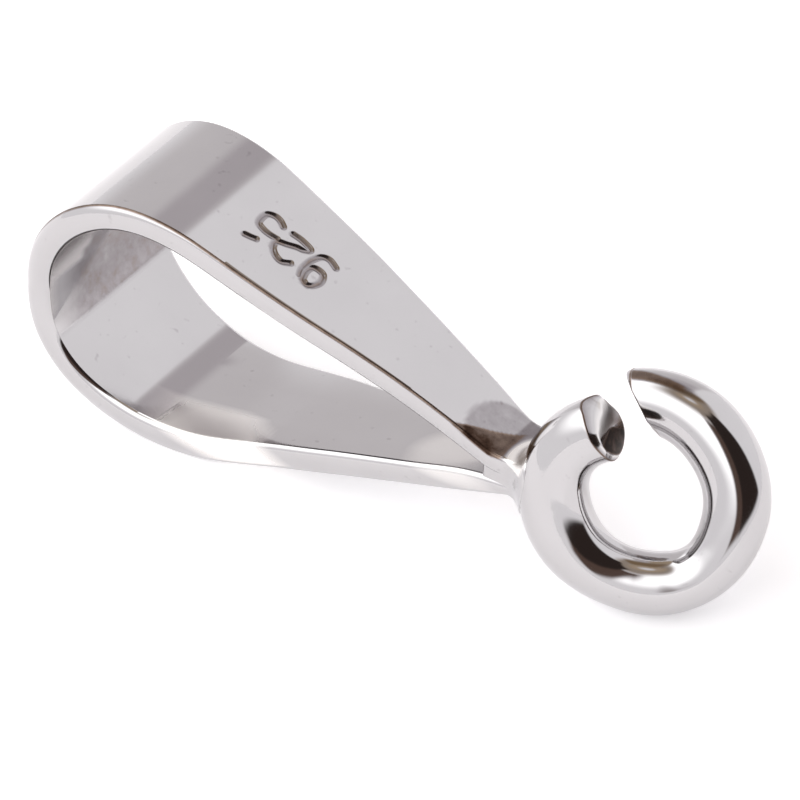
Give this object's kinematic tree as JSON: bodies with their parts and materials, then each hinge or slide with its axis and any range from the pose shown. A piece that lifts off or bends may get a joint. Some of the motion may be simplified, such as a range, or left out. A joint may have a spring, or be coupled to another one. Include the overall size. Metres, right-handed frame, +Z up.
{
  "type": "bail finding",
  "caption": "Folded teardrop strip that slides on a chain, with an open jump ring soldered to its closed tip to take a pendant.",
  "frame": {"origin": "middle of the bail's outline seen from above, at the level of the surface it rests on", "axes": "+X from the round end towards the jump ring, +Y across the strip's width, +Z up from the resting surface"},
  "size_m": [0.0116, 0.0034, 0.0044],
  "materials": {
    "silver": "polished sterling silver"
  },
  "bodies": {
    "root": {"bail": "silver"}
  },
  "joints": []
}
